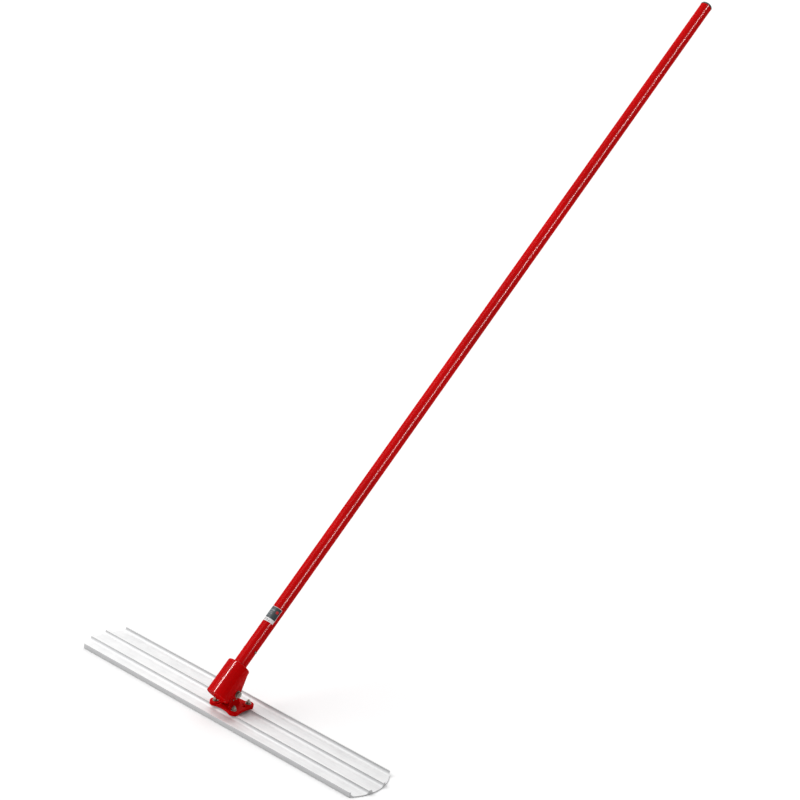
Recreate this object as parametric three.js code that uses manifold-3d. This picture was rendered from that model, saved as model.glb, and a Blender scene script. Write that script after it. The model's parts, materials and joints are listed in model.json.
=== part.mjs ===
// Bull float: a long extruded magnesium blade, a geared tilt bracket bolted on its ridges, and a tube handle.
// Twisting the handle turns a worm in the bracket's barrel. The worm walks round a gear sector that is
// fixed to the base, and so changes the angle between handle and blade.
// Millimetres, +Z up, +X along the blade, +Y towards the person who holds the handle.
// Origin: centre of the blade's flat working face.
import * as THREE from 'three';
import { mergeVertices } from 'three/addons/utils/BufferGeometryUtils.js';
import Module from 'manifold-3d';

const wasm = await Module();
wasm.setup();

// ---------------------------------------------------------------- driving dimensions
const seatGap = 0.3; // air between two pieces that rest on each other
const runGap = 0.3; // radial air between a shaft and its bush

const bladeLength = 1219.2;
const bladeWidth = 203.2;
const bladeEndBulge = 34; // how far the round ends stand out past the corners
const floorThickness = 3.6;
const lipHeight = 18;
const lipThickness = 4;
const lipFlankWidth = 12;
const edgeChamfer = 2.5;
const ridgeHeight = 15;
const ridgeSpacing = 70;
const crestWidth = 12;
const ridgeFlankWidth = 14;

const boltSpacingX = 80; // the base's bolts stand on the ridges, so ridgeSpacing is their other spacing
const boltRadius = 3.95;
const boltHoleClearance = 0.35;
const boltHeadRadius = 7.4;
const boltStickOut = 6;
const washerRadius = 9.5;
const washerThickness = 1.6;
const nutFlats = 13;
const nutHeight = 7;

const plateThickness = 9;
const lobeRadius = 18;
const lobeHeight = 12.5;
const plateWaistX = 53;
const plateWaistY = 44;
const drainHoleRadius = 3.2;
const drainHoleX = 41;
const drainHoleY = 13;

const pivotY = -14;
const pivotZ = 74;
const pivotRadius = 6;
const pivotBushWall = 2;
const pivotWasherRadius = 12;
const pivotNutFlats = 19;
const pivotNutHeight = 7;
const pivotHeadHeight = 7.5;
const pivotStickOut = 3;
const thrustWasherRadius = 12.5; // bronze, between ear and cheek
const earThickness = 9;
const earBossRadius = 14;
const earFrontFoot = 19;
const earBackFoot = 30;

const handleLean = 47; // degrees from upright towards +Y, at rest
const gearModule = 3;
const gearTeeth = 20;
const gearFace = 12;
const gearSectorHalfAngle = 58; // degrees
const toothRootShare = 0.27; // half a tooth, as a share of the tooth spacing
const toothTipShare = 0.1;
const gearTailHalfWidth = 10;
const gearTailReach = 24;
const gearTailFoot = 7;
const gearTailTaper = 4;
const dowelRadius = 3;
const dowelSpacing = 14;
const dowelShift = 2; // the pair's middle stands this far behind the pivot
const wormPitchRadius = 14;
const wormLength = 52;
const threadRootShare = 0.3; // half the thread, as a share of its pitch
const threadCrestShare = 0.13;
const threadFade = 2; // the thread dies out over this length at each end
const wormPinRadius = 2;
const wormPinDrop = 5;
const wormPinInset = 0.2;
const meshClearance = 0.5;
const spacerLength = 6;
const spacerRadius = 10;

const barrelRadius = 40;
const barrelWall = 6;
const barrelBelowPivot = 47;
const barrelAbovePivot = 76;
const barrelRoundTop = 5;
const roundShare = 0.3; // where the middle of a three-point round lies
const cheekThickness = 6;
const cheekBossRadius = 15;
const cheekBossEnd = 20; // degrees, where the boss meets the cheek's back edge
const cheekRootY = 18;
const cheekTopY = 26;
const cheekTopInset = 5;
const cheekBottomInset = 12;
const spotFaceRadius = 13.5; // flat kept clear round the pivot's nut, head and washers
const topBossRadius = 24;
const topBossLength = 14;
const topWallThickness = 9;
const windowHalfLength = 34;
const windowFront = 21;
const windowDepth = 40;
const coverThickness = 5.5;
const coverRebate = 2.5;
const coverFloor = 2.5; // left under the lower bush
const coverBossWall = 4;
const coverScrewInset = 4.5; // from the barrel's bore in to the screws' circle
const coverScrewRadius = 2;
const coverScrewHeadRadius = 3.6;
const coverScrewHeadHeight = 2;
const coverScrewTipGap = 1;
const screwLugRadius = 5;
const screwLugLength = 12;
const screwLugEnd = 2;

const spindleRadius = 8;
const journalRadius = 14;
const bushWall = 3.7;
const collarRadius = 17;
const collarLength = 4;
const lowerWasherRadius = 14;
const upperWasherRadius = 20;
const sealLength = 5;
const sealInset = 0.8;
const shaftChamfer = 1;

const tubeRadius = 22.225;
const tubeWall = 1.8;
const tubeLength = 3048;
const tubeStandOff = 4; // bare collar between barrel and tube
const spigotLength = 110;
const spigotWall = 3;
const spigotFloor = 12; // solid length above the tube's lower end
const spigotLeadIn = 2;
const buttonRadius = 4;
const buttonHeight = 56; // above the tube's lower end
const buttonProud = 3.8;
const buttonFlange = 2;
const buttonFlangeThickness = 1.4;
const buttonFlangeGap = 0.4;
const buttonRound = 1.5;
const springThickness = 1.2;
const springWidth = 8;
const springLegLength = 30;
const springLegBelow = 8; // how far a leg reaches below its button
const springBowFoot = 4;

const capRimHeight = 7;
const capDomeHeight = 3;
const capOverhang = 0.7;
const capPlugLength = 26;
const capPlugLeadIn = 3;
const capRound = 1.5;

const labelStart = 160; // above the tube's lower end
const labelLength = 56;
const labelThickness = 0.25;
const labelFrom = -152; // degrees round the tube
const labelTo = -25;

// ---------------------------------------------------------------- worked-out dimensions
const halfLength = bladeLength / 2;
const halfWidth = bladeWidth / 2;
const rowY = ridgeSpacing / 2;
const plateBottom = ridgeHeight + seatGap;
const plateTop = plateBottom + plateThickness;
const lobeTop = plateBottom + lobeHeight;
const washerBottom = lobeTop + seatGap;
const nutBottom = washerBottom + washerThickness + seatGap;
const nutTop = nutBottom + nutHeight;
const boltHoleRadius = boltRadius + boltHoleClearance;

const leanAngle = THREE.MathUtils.degToRad(handleLean);
const gearPitchRadius = (gearModule * gearTeeth) / 2;
const axisOffset = gearPitchRadius + wormPitchRadius; // barrel axis to pivot
const threadPitch = Math.PI * gearModule;
const toothAddendum = gearModule - 0.2;
const toothDedendum = gearModule + meshClearance;
const wormOuter = wormPitchRadius + toothAddendum;
const wormRoot = wormPitchRadius - toothDedendum;

const spacerInner = gearFace / 2 + seatGap;
const earInner = spacerInner + spacerLength + seatGap;
const earOuter = earInner + earThickness;
const pivotWasherInner = earOuter + seatGap;
const cheekInner = pivotWasherInner + washerThickness + seatGap;
const cheekOuter = cheekInner + cheekThickness;
const outerWasherInner = cheekOuter + seatGap;
const pivotNutInner = outerWasherInner + washerThickness + seatGap;
const pivotBushRadius = pivotRadius + runGap + pivotBushWall;

const barrelBottom = -barrelBelowPivot;
const barrelTop = barrelAbovePivot;
const barrelBore = barrelRadius - barrelWall;
const coverScrewCircle = barrelBore - coverScrewInset;
const coverTop = barrelBottom + coverThickness + seatGap;
const coverRadius = barrelBore + coverRebate - seatGap;
const screwHeadBottom = barrelBottom + seatGap;
const screwHeadTop = screwHeadBottom + coverScrewHeadHeight;
const lowerBushOuter = spindleRadius + runGap + bushWall;
const upperBushOuter = journalRadius + runGap + bushWall;
const wormTop = wormLength / 2;
const wormPinZ = wormTop - wormPinDrop;
const lowerWasherTop = -wormTop - seatGap;
const lowerWasherBottom = lowerWasherTop - washerThickness;
const topBoreRadius = upperBushOuter + seatGap;
const bossBottom = barrelTop - topWallThickness - topBossLength;
const lowerPocketFloor = barrelBottom + seatGap + coverFloor;
const lowerBushBottom = lowerPocketFloor + seatGap;
const lowerBushTop = lowerWasherBottom - seatGap;
const upperBushBottom = bossBottom;
const sealTop = barrelTop - sealInset;
const sealBottom = sealTop - sealLength;
const upperBushTop = sealBottom - seatGap;
const collarTop = upperBushBottom - seatGap - washerThickness - seatGap;
const collarBottom = collarTop - collarLength;

const tubeBore = tubeRadius - tubeWall;
const tubeBottom = barrelTop + tubeStandOff;
const tubeTop = tubeBottom + tubeLength;
const spigotRadius = tubeBore - runGap;
const spigotBore = spigotRadius - spigotWall;
const spigotTop = tubeBottom + spigotLength;
const buttonZ = tubeBottom + buttonHeight;

// ---------------------------------------------------------------- shape helpers
function cleaned(geometry) {
  const bare = geometry.index ? geometry.toNonIndexed() : geometry.clone();
  bare.deleteAttribute('normal');
  bare.deleteAttribute('uv');
  const merged = mergeVertices(bare, 1e-4);
  const index = merged.index.array;
  const kept = [];
  for (let i = 0; i < index.length; i += 3) {
    const [a, b, c] = [index[i], index[i + 1], index[i + 2]];
    if (a !== b && b !== c && c !== a) kept.push(a, b, c);
  }
  merged.setIndex(kept);
  return merged;
}

function toSolid(geometry) {
  const merged = cleaned(geometry);
  const vertProperties = Float32Array.from(merged.attributes.position.array);
  const triVerts = Uint32Array.from(merged.index.array);
  return new wasm.Manifold(new wasm.Mesh({ numProp: 3, vertProperties, triVerts }));
}

function toGeometry(solid) {
  const mesh = solid.getMesh();
  const geometry = new THREE.BufferGeometry();
  geometry.setAttribute('position', new THREE.BufferAttribute(mesh.vertProperties, 3));
  geometry.setIndex(new THREE.BufferAttribute(mesh.triVerts, 1));
  return geometry;
}

function combine(base, { add = [], cut = [] }) {
  let solid = toSolid(base);
  for (const extra of add) solid = solid.add(toSolid(extra));
  for (const hole of cut) solid = solid.subtract(toSolid(hole));
  return toGeometry(solid);
}

// A profile of [radius, height] points, listed anticlockwise, turned round Z.
function turned(profile, segments = 32) {
  const points = profile.map(([r, z]) => new THREE.Vector2(r, z));
  return new THREE.LatheGeometry(points, segments).rotateX(Math.PI / 2);
}

function ring(inner, outer, bottom, top, segments = 32) {
  const profile = [[inner, bottom], [outer, bottom], [outer, top], [inner, top], [inner, bottom]];
  return turned(profile, segments);
}

function rod(radius, bottom, top, segments = 24) {
  return turned([[0, bottom], [radius, bottom], [radius, top], [0, top]], segments);
}

// Turns a piece made along +Z so that it lies along +X, keeping Y.
function alongX(geometry) {
  return geometry.rotateY(Math.PI / 2);
}

// An outline drawn in (Y, Z), drawn out along X from one place to another.
function slab(shape, fromX, toX, curveSegments = 6) {
  const options = { depth: toX - fromX, bevelEnabled: false, curveSegments };
  const geometry = new THREE.ExtrudeGeometry(shape, options);
  const axes = new THREE.Matrix4().makeBasis(
    new THREE.Vector3(0, 1, 0),
    new THREE.Vector3(0, 0, 1),
    new THREE.Vector3(1, 0, 0),
  );
  return geometry.applyMatrix4(axes).translate(fromX, 0, 0);
}

// An outline drawn in (X, Y), drawn out along Z.
function block(shape, fromZ, toZ, curveSegments = 6) {
  const options = { depth: toZ - fromZ, bevelEnabled: false, curveSegments };
  return new THREE.ExtrudeGeometry(shape, options).translate(0, 0, fromZ);
}

function hexagon(flats, boreRadius) {
  const shape = new THREE.Shape();
  const corner = flats / Math.sqrt(3);
  for (let i = 0; i < 6; i += 1) {
    const angle = (i * Math.PI) / 3;
    if (i === 0) shape.moveTo(corner, 0);
    else shape.lineTo(corner * Math.cos(angle), corner * Math.sin(angle));
  }
  shape.closePath();
  if (boreRadius) {
    const hole = new THREE.Path();
    hole.absarc(0, 0, boreRadius, 0, 2 * Math.PI, true);
    shape.holes.push(hole);
  }
  return shape;
}

// ---------------------------------------------------------------- finishes
function finish(color, roughness, metalness) {
  return new THREE.MeshStandardMaterial({ color, roughness, metalness });
}
const magnesium = finish(0xdfe1e3, 0.38, 0.85);
const redPaint = finish(0xc4101c, 0.28, 0.0);
const zincSteel = finish(0xa9abb0, 0.35, 0.95);
const toolSteel = finish(0x6d7076, 0.4, 0.95);
const bronze = finish(0xa67a3c, 0.4, 0.9);
const springSteel = finish(0x8b8f95, 0.3, 0.95);
const blackPlastic = finish(0x2c2d2c, 0.5, 0.0);
const blackRubber = finish(0x1b1b1b, 0.75, 0.0);
const labelVinyl = finish(0x3a464c, 0.45, 0.0);

const bullFloat = new THREE.Group();

function place(name, geometry, material, parent = bullFloat) {
  const mesh = new THREE.Mesh(cleaned(geometry), material);
  mesh.name = name;
  parent.add(mesh);
  return mesh;
}

// ---------------------------------------------------------------- blade
// The section, the same all along: a floor with a lip on each edge and two bolt ridges between them.
function bladeSection() {
  const shape = new THREE.Shape();
  const crestIn = rowY - crestWidth / 2;
  const crestOut = rowY + crestWidth / 2;
  const lipInner = halfWidth - lipThickness;
  shape.moveTo(-halfWidth + edgeChamfer, 0);
  shape.lineTo(halfWidth - edgeChamfer, 0);
  shape.lineTo(halfWidth, edgeChamfer);
  shape.lineTo(halfWidth, lipHeight);
  shape.lineTo(lipInner, lipHeight);
  shape.quadraticCurveTo(lipInner - 1, floorThickness, lipInner - lipFlankWidth, floorThickness);
  shape.lineTo(crestOut + ridgeFlankWidth, floorThickness);
  shape.quadraticCurveTo(crestOut + 1, floorThickness, crestOut, ridgeHeight);
  shape.lineTo(crestIn, ridgeHeight);
  shape.quadraticCurveTo(crestIn - 1, floorThickness, crestIn - ridgeFlankWidth, floorThickness);
  shape.lineTo(-crestIn + ridgeFlankWidth, floorThickness);
  shape.quadraticCurveTo(-crestIn + 1, floorThickness, -crestIn, ridgeHeight);
  shape.lineTo(-crestOut, ridgeHeight);
  shape.quadraticCurveTo(-crestOut - 1, floorThickness, -crestOut - ridgeFlankWidth, floorThickness);
  shape.lineTo(-lipInner + lipFlankWidth, floorThickness);
  shape.quadraticCurveTo(-lipInner + 1, floorThickness, -lipInner, lipHeight);
  shape.lineTo(-halfWidth, lipHeight);
  shape.lineTo(-halfWidth, edgeChamfer);
  shape.closePath();
  return shape;
}

// Plan outline with an arc at each end, through both corners and the end's middle.
function bladePlan() {
  const endRadius = (halfWidth ** 2 + bladeEndBulge ** 2) / (2 * bladeEndBulge);
  const centre = halfLength - endRadius;
  const sweep = Math.asin(halfWidth / endRadius);
  const shape = new THREE.Shape();
  shape.absarc(centre, 0, endRadius, -sweep, sweep, false);
  shape.absarc(-centre, 0, endRadius, Math.PI - sweep, Math.PI + sweep, false);
  shape.closePath();
  return shape;
}

// The four bolt places, front left first.
const boltPlaces = [];
for (const y of [-rowY, rowY]) {
  for (const x of [-boltSpacingX / 2, boltSpacingX / 2]) boltPlaces.push([x, y]);
}

function blade() {
  const plan = block(bladePlan(), -1, lipHeight + 1, 7);
  let solid = toSolid(slab(bladeSection(), -halfLength, halfLength, 5)).intersect(toSolid(plan));
  const headDepth = boltHeadRadius - boltRadius;
  for (const [x, y] of boltPlaces) {
    const hole = turned(
      [
        [0, -1],
        [boltHeadRadius + boltHoleClearance + 1, -1],
        [boltHoleRadius, headDepth],
        [boltHoleRadius, ridgeHeight + 1],
        [0, ridgeHeight + 1],
      ],
      16,
    );
    solid = solid.subtract(toSolid(hole.translate(x, y, 0)));
  }
  return toGeometry(solid);
}
place('blade', blade(), magnesium);

// ---------------------------------------------------------------- base
// Outline of one ear: a boss round the pivot on a foot that widens down to the plate.
function earShape() {
  const shape = new THREE.Shape();
  shape.moveTo(pivotY + earBackFoot, plateTop - 1);
  shape.lineTo(pivotY + earBossRadius, pivotZ);
  shape.absarc(pivotY, pivotZ, earBossRadius, 0, Math.PI, false);
  shape.lineTo(pivotY - earFrontFoot, plateTop - 1);
  shape.closePath();
  return shape;
}

function plateShape() {
  const sideX = boltSpacingX / 2 + lobeRadius;
  const frontY = rowY + lobeRadius;
  const curveX = 2 * plateWaistX - sideX;
  const curveY = 2 * plateWaistY - frontY;
  const shape = new THREE.Shape();
  shape.moveTo(sideX, -rowY);
  shape.quadraticCurveTo(curveX, 0, sideX, rowY);
  shape.lineTo(boltSpacingX / 2, frontY);
  shape.quadraticCurveTo(0, curveY, -boltSpacingX / 2, frontY);
  shape.lineTo(-sideX, rowY);
  shape.quadraticCurveTo(-curveX, 0, -sideX, -rowY);
  shape.lineTo(-boltSpacingX / 2, -frontY);
  shape.quadraticCurveTo(0, -curveY, boltSpacingX / 2, -frontY);
  shape.closePath();
  return shape;
}

// Dowels hold the gear sector between the ears, below the pivot.
const dowelPlaces = [
  [pivotY + dowelShift - dowelSpacing / 2, pivotZ - gearTailReach],
  [pivotY + dowelShift + dowelSpacing / 2, pivotZ - gearTailReach],
];

function basePlate() {
  const add = [];
  const cut = [];
  for (const [x, y] of boltPlaces) {
    add.push(rod(lobeRadius, plateBottom, lobeTop, 24).translate(x, y, 0));
    cut.push(rod(boltHoleRadius, plateBottom - 1, lobeTop + 1, 16).translate(x, y, 0));
  }
  for (const side of [-1, 1]) {
    const [from, to] = side > 0 ? [earInner, earOuter] : [-earOuter, -earInner];
    add.push(slab(earShape(), from, to, 10));
    const drain = rod(drainHoleRadius, plateBottom - 1, plateTop + 1, 12);
    cut.push(drain.translate(side * drainHoleX, drainHoleY, 0));
  }
  const across = earOuter + 1;
  cut.push(alongX(rod(pivotBushRadius + seatGap, -across, across, 24)).translate(0, pivotY, pivotZ));
  for (const [y, z] of dowelPlaces) {
    cut.push(alongX(rod(dowelRadius + seatGap, -across, across, 12)).translate(0, y, z));
  }
  return combine(block(plateShape(), plateBottom, plateTop, 8), { add, cut });
}
place('base_plate', basePlate(), redPaint);

function bladeBolt() {
  const headDepth = boltHeadRadius - boltRadius;
  const profile = [
    [0, seatGap],
    [boltHeadRadius, seatGap],
    [boltRadius, headDepth + seatGap],
    [boltRadius, nutTop + boltStickOut - 1],
    [boltRadius - 1, nutTop + boltStickOut],
    [0, nutTop + boltStickOut],
  ];
  return turned(profile, 16);
}
const cornerNames = ['front_left', 'front_right', 'rear_left', 'rear_right'];
boltPlaces.forEach(([x, y], i) => {
  const washer = ring(boltHoleRadius, washerRadius, washerBottom, washerBottom + washerThickness, 20);
  const nut = block(hexagon(nutFlats, boltHoleRadius), nutBottom, nutTop, 8);
  place(`blade_bolt_${cornerNames[i]}`, bladeBolt().translate(x, y, 0), zincSteel);
  place(`blade_washer_${cornerNames[i]}`, washer.translate(x, y, 0), zincSteel);
  place(`blade_nut_${cornerNames[i]}`, nut.translate(x, y, 0), zincSteel);
});

// ---------------------------------------------------------------- gear sector, fixed between the ears
const wormDirection = Math.PI - leanAngle; // from the pivot, in the (Y, Z) plane

function gearShape() {
  const rootRadius = gearPitchRadius - toothDedendum;
  const tipRadius = gearPitchRadius + toothAddendum;
  const step = (2 * Math.PI) / gearTeeth;
  const half = THREE.MathUtils.degToRad(gearSectorHalfAngle);
  const count = Math.floor(half / step);
  const shape = new THREE.Shape();
  const at = (radius, angle) => [
    pivotY + radius * Math.cos(angle),
    pivotZ + radius * Math.sin(angle),
  ];
  const rootHalf = toothRootShare * step;
  const tipHalf = toothTipShare * step;
  shape.moveTo(...at(rootRadius, wormDirection - half));
  for (let k = -count; k <= count; k += 1) {
    const middle = wormDirection + k * step;
    shape.lineTo(...at(rootRadius, middle - rootHalf));
    shape.lineTo(...at(tipRadius, middle - tipHalf));
    shape.lineTo(...at(tipRadius, middle + tipHalf));
    shape.lineTo(...at(rootRadius, middle + rootHalf));
  }
  shape.lineTo(...at(rootRadius, wormDirection + half));
  const tailY = pivotY + dowelShift;
  const tailZ = pivotZ - gearTailReach;
  shape.lineTo(tailY - gearTailHalfWidth - gearTailTaper, tailZ);
  shape.lineTo(tailY - gearTailHalfWidth, tailZ - gearTailFoot);
  shape.lineTo(tailY + gearTailHalfWidth, tailZ - gearTailFoot);
  shape.lineTo(tailY + gearTailHalfWidth + gearTailTaper, tailZ);
  shape.closePath();
  return shape;
}

function gearSector() {
  const across = gearFace;
  const cut = [alongX(rod(pivotRadius + seatGap, -across, across, 24)).translate(0, pivotY, pivotZ)];
  for (const [y, z] of dowelPlaces) {
    cut.push(alongX(rod(dowelRadius + seatGap, -across, across, 12)).translate(0, y, z));
  }
  return combine(slab(gearShape(), -gearFace / 2, gearFace / 2), { cut });
}
place('gear_sector', gearSector(), toolSteel);

dowelPlaces.forEach(([y, z], i) => {
  const dowel = alongX(rod(dowelRadius, -earOuter, earOuter, 12)).translate(0, y, z);
  place(`gear_dowel_${i + 1}`, dowel, zincSteel);
});

// ---------------------------------------------------------------- pivot
const atPivot = (geometry) => alongX(geometry).translate(0, pivotY, pivotZ);
const sides = { left: -1, right: 1 };
for (const [name, side] of Object.entries(sides)) {
  const between = (from, to) => (side > 0 ? [from, to] : [-to, -from]);
  const bush = ring(pivotRadius + runGap, pivotBushRadius, ...between(earInner, earOuter), 24);
  const bore = pivotRadius + seatGap;
  const spacer = ring(bore, spacerRadius, ...between(spacerInner, spacerInner + spacerLength), 20);
  const inner = between(pivotWasherInner, pivotWasherInner + washerThickness);
  const outer = between(outerWasherInner, outerWasherInner + washerThickness);
  place(`pivot_bush_${name}`, atPivot(bush), bronze);
  place(`gear_spacer_${name}`, atPivot(spacer), zincSteel);
  place(`pivot_thrust_washer_${name}`, atPivot(ring(bore, thrustWasherRadius, ...inner, 24)), bronze);
  place(`pivot_washer_${name}`, atPivot(ring(bore, pivotWasherRadius, ...outer, 24)), zincSteel);
}

function pivotBolt() {
  const headFrom = -pivotNutInner - pivotHeadHeight;
  const head = block(hexagon(pivotNutFlats, 0), headFrom, -pivotNutInner + seatGap);
  const shank = rod(pivotRadius, headFrom + 1, pivotNutInner + pivotNutHeight + pivotStickOut, 24);
  return atPivot(combine(head, { add: [shank] }));
}
place('pivot_bolt', pivotBolt(), zincSteel);
const pivotNut = block(
  hexagon(pivotNutFlats, pivotRadius + seatGap),
  pivotNutInner,
  pivotNutInner + pivotNutHeight,
  8,
);
place('pivot_lock_nut', atPivot(pivotNut), zincSteel);

// ---------------------------------------------------------------- head: everything that tilts on the pivot
// The head's own frame has +Z up the handle, X along the pivot and its origin on the barrel's axis,
// level with the pivot, which lies at y = axisOffset.
const tilt = new THREE.Group();
tilt.position.set(0, pivotY, pivotZ);
tilt.rotation.x = -leanAngle;
bullFloat.add(tilt);
const head = new THREE.Group();
head.position.set(0, -axisOffset, 0);
tilt.add(head);

function cheekShape() {
  const shape = new THREE.Shape();
  const bossEnd = THREE.MathUtils.degToRad(cheekBossEnd);
  shape.moveTo(cheekRootY, barrelTop - cheekTopInset);
  shape.lineTo(cheekRootY, barrelBottom + cheekBottomInset);
  shape.lineTo(axisOffset, -cheekBossRadius);
  shape.absarc(axisOffset, 0, cheekBossRadius, -Math.PI / 2, bossEnd, false);
  shape.lineTo(cheekTopY, barrelTop - cheekTopInset);
  shape.closePath();
  return shape;
}

function wormHousing() {
  const bevel = barrelRoundTop * roundShare;
  const shell = turned(
    [
      [barrelBore + coverRebate, barrelBottom],
      [barrelRadius, barrelBottom],
      [barrelRadius, barrelTop - barrelRoundTop],
      [barrelRadius - bevel, barrelTop - bevel],
      [barrelRadius - barrelRoundTop, barrelTop],
      [topBoreRadius, barrelTop],
      [topBoreRadius, bossBottom],
      [topBossRadius, bossBottom],
      [topBossRadius, barrelTop - topWallThickness],
      [barrelBore, barrelTop - topWallThickness],
      [barrelBore, coverTop],
      [barrelBore + coverRebate, coverTop],
      [barrelBore + coverRebate, barrelBottom],
    ],
    48,
  );
  const window = new THREE.BoxGeometry(2 * cheekInner, windowDepth, 2 * windowHalfLength);
  window.translate(0, windowFront + windowDepth / 2, 0);
  const bore = alongX(rod(pivotRadius + runGap, -cheekOuter - 1, cheekOuter + 1, 24));
  bore.translate(0, axisOffset, 0);
  const add = [
    slab(cheekShape(), cheekInner, cheekOuter, 8),
    slab(cheekShape(), -cheekOuter, -cheekInner, 8),
  ];
  const lugTop = coverTop + seatGap + screwLugLength;
  const cut = [window, bore];
  for (const [from, to] of [[cheekOuter, 2 * barrelRadius], [-2 * barrelRadius, -cheekOuter]]) {
    cut.push(alongX(rod(spotFaceRadius, from, to, 24)).translate(0, axisOffset, 0));
  }
  for (const [x, y] of coverScrewPlaces()) {
    const hole = rod(coverScrewRadius + seatGap, barrelBottom - 1, lugTop - screwLugEnd, 10);
    add.push(rod(screwLugRadius, coverTop, lugTop, 12).translate(x, y, 0));
    cut.push(hole.translate(x, y, 0));
  }
  return combine(shell, { add, cut });
}

function coverScrewPlaces() {
  const places = [];
  for (const degrees of [-90, 30, 150]) {
    const angle = THREE.MathUtils.degToRad(degrees);
    places.push([coverScrewCircle * Math.cos(angle), coverScrewCircle * Math.sin(angle)]);
  }
  return places;
}
place('worm_housing', wormHousing(), redPaint, head);

function bottomCover() {
  const pocket = lowerBushOuter + seatGap;
  const top = coverTop - seatGap;
  const disc = turned(
    [
      [0, barrelBottom],
      [coverRadius, barrelBottom],
      [coverRadius, top],
      [pocket + coverBossWall, top],
      [pocket + coverBossWall, lowerBushTop],
      [pocket, lowerBushTop],
      [pocket, lowerPocketFloor],
      [0, lowerPocketFloor],
    ],
    36,
  );
  const cut = [];
  const recessTop = screwHeadTop + seatGap;
  for (const [x, y] of coverScrewPlaces()) {
    cut.push(rod(coverScrewRadius + seatGap, barrelBottom - 1, top + 1, 10).translate(x, y, 0));
    cut.push(rod(coverScrewHeadRadius + seatGap, barrelBottom - 1, recessTop, 12).translate(x, y, 0));
  }
  return combine(disc, { cut });
}
place('bottom_cover', bottomCover(), redPaint, head);

coverScrewPlaces().forEach(([x, y], i) => {
  const screwTip = coverTop + screwLugLength - screwLugEnd - coverScrewTipGap;
  const screw = turned(
    [
      [0, screwHeadBottom],
      [coverScrewHeadRadius, screwHeadBottom],
      [coverScrewHeadRadius, screwHeadTop],
      [coverScrewRadius, screwHeadTop],
      [coverScrewRadius, screwTip],
      [0, screwTip],
    ],
    12,
  );
  place(`cover_screw_${i + 1}`, screw.translate(x, y, 0), zincSteel, head);
});

const lowerBush = ring(spindleRadius + runGap, lowerBushOuter, lowerBushBottom, lowerBushTop, 24);
place('lower_bush', lowerBush, bronze, head);
const upperBush = ring(journalRadius + runGap, upperBushOuter, upperBushBottom, upperBushTop, 28);
place('upper_bush', upperBush, bronze, head);
const topSeal = ring(journalRadius + runGap, upperBushOuter, sealBottom, sealTop, 28);
place('top_seal', topSeal, blackRubber, head);

// ---------------------------------------------------------------- spindle: worm, shaft and spigot
function spindle() {
  const bottom = lowerBushBottom + seatGap;
  const shoulder = barrelTop + seatGap;
  const body = turned(
    [
      [0, bottom],
      [spindleRadius - shaftChamfer, bottom],
      [spindleRadius, bottom + shaftChamfer],
      [spindleRadius, collarBottom],
      [collarRadius, collarBottom],
      [collarRadius, collarTop],
      [journalRadius, collarTop],
      [journalRadius, shoulder],
      [tubeRadius - shaftChamfer, shoulder],
      [tubeRadius, shoulder + shaftChamfer],
      [tubeRadius, tubeBottom - seatGap],
      [spigotRadius, tubeBottom - seatGap],
      [spigotRadius, spigotTop - spigotLeadIn],
      [spigotRadius - spigotLeadIn / 2, spigotTop],
      [spigotBore, spigotTop],
      [spigotBore, tubeBottom + spigotFloor],
      [0, tubeBottom + spigotFloor],
    ],
    32,
  );
  const hole = alongX(rod(buttonRadius + runGap, -tubeRadius, tubeRadius, 16)).translate(0, 0, buttonZ);
  const pinHole = alongX(rod(wormPinRadius + seatGap, -spindleRadius - 1, spindleRadius + 1, 10));
  pinHole.translate(0, 0, wormPinZ);
  return combine(body, { cut: [hole, pinHole] });
}
place('spindle', spindle(), zincSteel, head);

// A cylinder whose wall follows one trapezoid thread, with a gap of the thread level with the pivot.
function worm() {
  const around = 22;
  const rowsPerTurn = 7;
  const rows = Math.round((wormLength / threadPitch) * rowsPerTurn);
  const geometry = new THREE.CylinderGeometry(1, 1, wormLength, around, rows).rotateX(Math.PI / 2);
  const position = geometry.attributes.position;
  for (let i = 0; i < position.count; i += 1) {
    const [x, y, z] = [position.getX(i), position.getY(i), position.getZ(i)];
    const reach = Math.hypot(x, y);
    const onAxis = reach < 0.5;
    if (onAxis) continue;
    const turns = (Math.atan2(y, x) - Math.PI / 2) / (2 * Math.PI);
    const phase = z / threadPitch - turns + 0.5;
    const fromCrest = Math.abs(phase - Math.round(phase));
    const flank = (threadRootShare - fromCrest) / (threadRootShare - threadCrestShare);
    const fade = THREE.MathUtils.clamp((wormTop - Math.abs(z)) / threadFade, 0, 1);
    const thread = THREE.MathUtils.clamp(flank, 0, 1) * fade;
    const radius = wormRoot + (wormOuter - wormRoot) * thread;
    position.setXY(i, (x / reach) * radius, (y / reach) * radius);
  }
  const bore = rod(spindleRadius + seatGap, -wormLength, wormLength, 24);
  const pinHole = alongX(rod(wormPinRadius + seatGap, -wormOuter - 1, wormOuter + 1, 10));
  pinHole.translate(0, 0, wormPinZ);
  return combine(geometry, { cut: [bore, pinHole] });
}
place('worm', worm(), toolSteel, head);
const pinHalfLength = wormRoot - wormPinInset;
const wormPin = alongX(rod(wormPinRadius, -pinHalfLength, pinHalfLength, 10)).translate(0, 0, wormPinZ);
place('worm_pin', wormPin, zincSteel, head);

const washerBore = spindleRadius + seatGap;
const lowerWasher = ring(washerBore, lowerWasherRadius, lowerWasherBottom, lowerWasherTop, 24);
place('worm_thrust_washer', lowerWasher, bronze, head);
const upperWasherBottom = collarTop + seatGap;
const upperWasherTop = upperWasherBottom + washerThickness;
const upperWasher = ring(journalRadius + seatGap, upperWasherRadius, upperWasherBottom, upperWasherTop, 24);
place('spindle_thrust_washer', upperWasher, bronze, head);

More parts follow.
